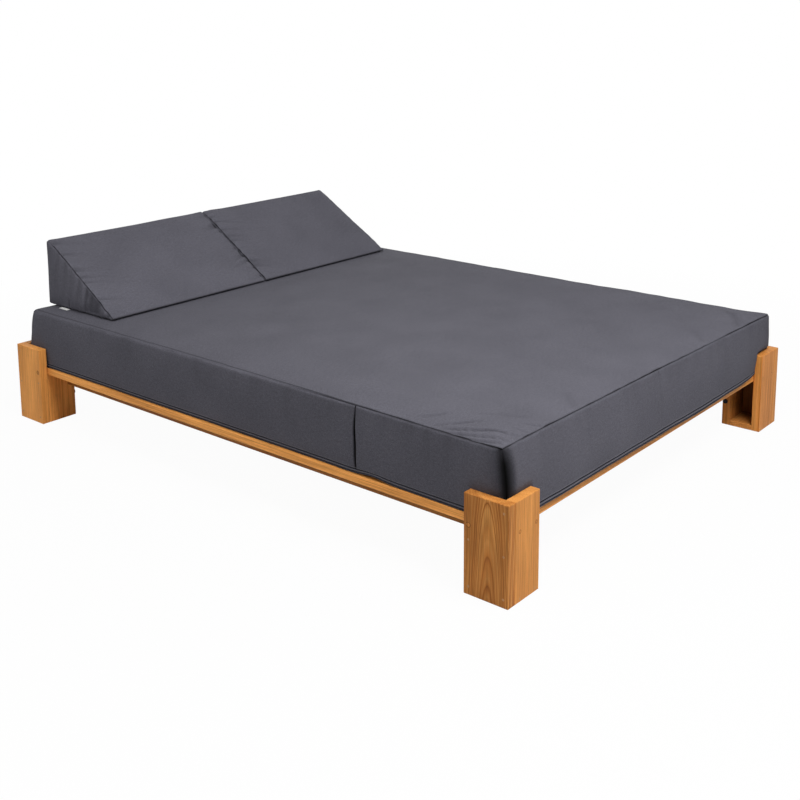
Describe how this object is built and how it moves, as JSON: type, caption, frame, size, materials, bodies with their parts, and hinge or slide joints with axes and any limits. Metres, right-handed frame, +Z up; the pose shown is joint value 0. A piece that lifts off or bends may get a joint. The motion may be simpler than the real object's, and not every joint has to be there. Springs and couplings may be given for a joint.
{
  "type": "double chaise lounger",
  "caption": "Low teak daybed on four box legs with a slatted deck, one wide charcoal mattress and two lift-off wedge head cushions.",
  "frame": {"origin": "on the floor under the middle of the bed", "axes": "+Z up, +Y along the bed from foot to head, +X across the bed"},
  "size_m": [1.6, 2.06, 0.6183],
  "materials": {
    "teak": "oiled teak, clear grain",
    "charcoal_fabric": "charcoal outdoor fabric, fine plain weave",
    "foam": "open-cell foam block",
    "white_tape": "blank woven tape",
    "black_steel": "black coated steel",
    "zinc_steel": "zinc plated steel"
  },
  "bodies": {
    "frame": {"bearer_left": "teak", "bearer_right": "teak", "deck_end_board_foot": "teak", "deck_end_board_head": "teak", "deck_side_board_left": "teak", "deck_side_board_right": "teak", "end_plugs": "teak", "end_rail_foot": "teak", "end_rail_head": "teak", "end_screws": "zinc_steel", "foot_left_leg_base_plate": "teak", "foot_left_leg_end_board": "teak", "foot_left_leg_inner_board": "teak", "foot_left_leg_side_board": "teak", "foot_right_leg_base_plate": "teak", "foot_right_leg_end_board": "teak", "foot_right_leg_inner_board": "teak", "foot_right_leg_side_board": "teak", "head_left_leg_base_plate": "teak", "head_left_leg_end_board": "teak", "head_left_leg_inner_board": "teak", "head_left_leg_side_board": "teak", "head_right_leg_base_plate": "teak", "head_right_leg_end_board": "teak", "head_right_leg_inner_board": "teak", "head_right_leg_side_board": "teak", "leg_bolt_sleeves": "zinc_steel", "leg_bolts": "black_steel", "rail_barrel_nuts": "zinc_steel", "rail_bolts": "black_steel", "rail_dowels": "teak", "side_plugs": "teak", "side_rail_left": "teak", "side_rail_right": "teak", "side_screws": "zinc_steel", "slat_01": "teak", "slat_02": "teak", "slat_03": "teak", "slat_04": "teak", "slat_05": "teak", "slat_06": "teak", "slat_07": "teak", "slat_08": "teak", "slat_09": "teak", "slat_10": "teak", "slat_11": "teak", "slat_12": "teak", "slat_13": "teak", "slat_14": "teak", "slat_15": "teak", "slat_16": "teak"},
    "mattress": {"mattress_cover": "charcoal_fabric", "mattress_core": "foam"},
    "left_wedge": {"wedge_cover_left": "charcoal_fabric", "wedge_core_left": "foam", "wedge_tab": "white_tape"},
    "right_wedge": {"wedge_cover_right": "charcoal_fabric", "wedge_core_right": "foam"}
  },
  "joints": [
    {"name": "mattress_lift", "type": "slide", "parent": "frame", "child": "mattress", "axis": [0, 0, 1], "range_m": [0, 0.35]},
    {"name": "left_wedge_lift", "type": "slide", "parent": "mattress", "child": "left_wedge", "axis": [0, 0, 1], "range_m": [0, 0.25]},
    {"name": "right_wedge_lift", "type": "slide", "parent": "mattress", "child": "right_wedge", "axis": [0, 0, 1], "range_m": [0, 0.25]}
  ]
}
